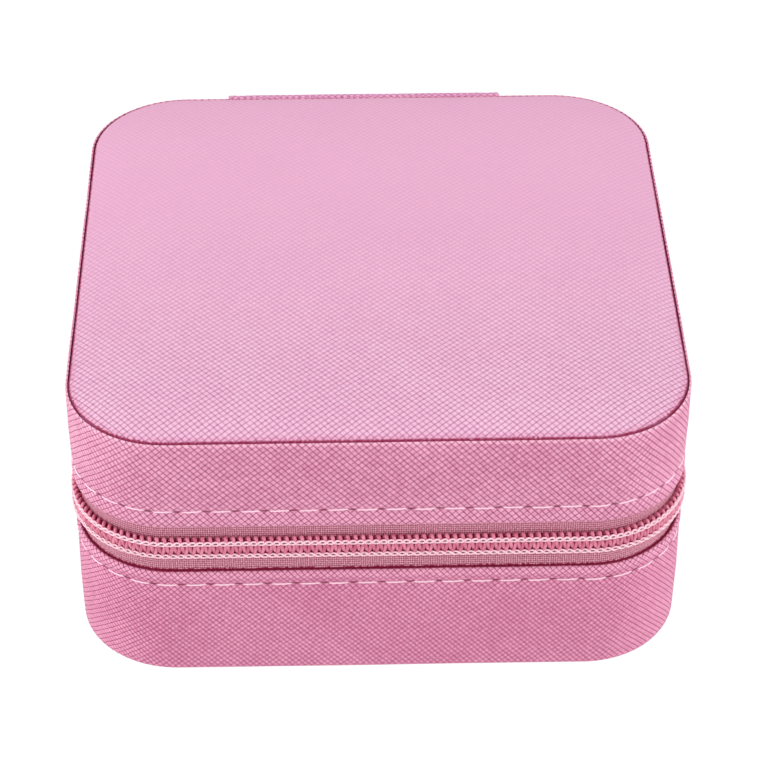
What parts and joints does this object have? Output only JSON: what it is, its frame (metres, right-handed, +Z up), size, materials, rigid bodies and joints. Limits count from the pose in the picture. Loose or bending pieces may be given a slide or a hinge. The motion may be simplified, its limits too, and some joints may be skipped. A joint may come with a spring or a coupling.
{
  "type": "jewellery case",
  "caption": "Square zip-round leather travel jewellery case with a hinged padded lid, ring rolls, removable dividers, necklace flaps and a lid pocket.",
  "frame": {"origin": "middle of the underside of the closed case", "axes": "+X to the right, -Y to the front, +Y to the hinge, +Z up"},
  "size_m": [0.1046, 0.1017, 0.048],
  "materials": {
    "pink_leather": "crosshatch-embossed, satin",
    "spine_leather": "crosshatch-embossed, satin",
    "zip_tape": "fine woven polyester tape",
    "zip_coil": "monofilament coil with sewing thread",
    "seam_thread": "twisted polyester thread",
    "velvet": "short-pile flocked velvet",
    "strip_leather": "smooth, satin",
    "foam": "open-cell foam",
    "board": "pressed greyboard",
    "gold_metal": "bright plated"
  },
  "bodies": {
    "base": {"base_bottom_cover": "pink_leather", "base_band": "pink_leather", "base_padding": "foam", "base_frame": "board", "base_lining": "velvet", "base_floor_pad": "velvet", "zipper_tape_lower": "zip_tape", "zipper_coil_lower": "zip_coil", "zipper_stops_lower": "gold_metal", "seam_thread_lower": "seam_thread", "spine_strip_lower": "spine_leather", "spine_gusset_lower": "spine_leather", "partition": "velvet", "divider_guides": "velvet", "ring_roll_1": "velvet", "ring_roll_2": "velvet", "ring_roll_3": "velvet", "ring_roll_4": "velvet", "ring_roll_5": "velvet", "ring_roll_6": "velvet", "ring_roll_7": "velvet", "ring_roll_8": "velvet"},
    "lid": {"lid_top_cover": "pink_leather", "lid_top_padding": "foam", "lid_top_board": "board", "lid_band": "pink_leather", "lid_padding": "foam", "lid_frame": "board", "lid_lining": "velvet", "zipper_tape_upper": "zip_tape", "zipper_coil_upper": "zip_coil", "zipper_stops_upper": "gold_metal", "seam_thread_upper": "seam_thread", "spine_strip_upper": "spine_leather", "spine_gusset_upper": "spine_leather", "necklace_strip": "strip_leather", "snap_studs": "gold_metal", "lid_pocket": "velvet", "pocket_elastic": "velvet"},
    "slider": {"slider_body": "gold_metal", "slider_bridge": "gold_metal"},
    "ring": {"pull_ring": "gold_metal"},
    "tab": {"pull_tab": "gold_metal"},
    "divider_front": {"divider_front": "velvet"},
    "divider_rear": {"divider_rear": "velvet"},
    "flap_left": {"necklace_flap_left": "strip_leather", "snap_cap_left": "gold_metal"},
    "flap_middle": {"necklace_flap_middle": "strip_leather", "snap_cap_middle": "gold_metal"},
    "flap_right": {"necklace_flap_right": "strip_leather", "snap_cap_right": "gold_metal"}
  },
  "joints": [
    {"name": "lid_hinge", "type": "hinge", "parent": "base", "child": "lid", "pos_m": [0, 0.0513, 0.0266], "axis": [-1, 0, 0], "range_deg": [0, 180], "deforming": ["zipper_coil_lower", "zipper_coil_upper"]},
    {"name": "slider_travel", "type": "slide", "parent": "base", "child": "slider", "axis": [0, -1, 0], "range_m": [0, 0.052], "deforming": ["zipper_coil_lower", "zipper_coil_upper"]},
    {"name": "ring_turn", "type": "hinge", "parent": "slider", "child": "ring", "pos_m": [0.05275, 0.024, 0.0266], "axis": [0, -1, 0], "range_deg": [0, 176]},
    {"name": "tab_swing", "type": "hinge", "parent": "ring", "child": "tab", "pos_m": [0.05275, 0.024, 0.02245], "axis": [1, 0, 0], "range_deg": [-60, 60]},
    {"name": "divider_front_lift", "type": "slide", "parent": "base", "child": "divider_front", "axis": [0, 0, 1], "range_m": [0, 0.017]},
    {"name": "divider_rear_lift", "type": "slide", "parent": "base", "child": "divider_rear", "axis": [0, 0, 1], "range_m": [0, 0.017]},
    {"name": "flap_left_open", "type": "hinge", "parent": "lid", "child": "flap_left", "pos_m": [-0.026, -0.033, 0.0425], "axis": [-1, 0, 0], "range_deg": [0, 90]},
    {"name": "flap_middle_open", "type": "hinge", "parent": "lid", "child": "flap_middle", "pos_m": [0, -0.033, 0.0425], "axis": [-1, 0, 0], "range_deg": [0, 90]},
    {"name": "flap_right_open", "type": "hinge", "parent": "lid", "child": "flap_right", "pos_m": [0.026, -0.033, 0.0425], "axis": [-1, 0, 0], "range_deg": [0, 90]}
  ]
}
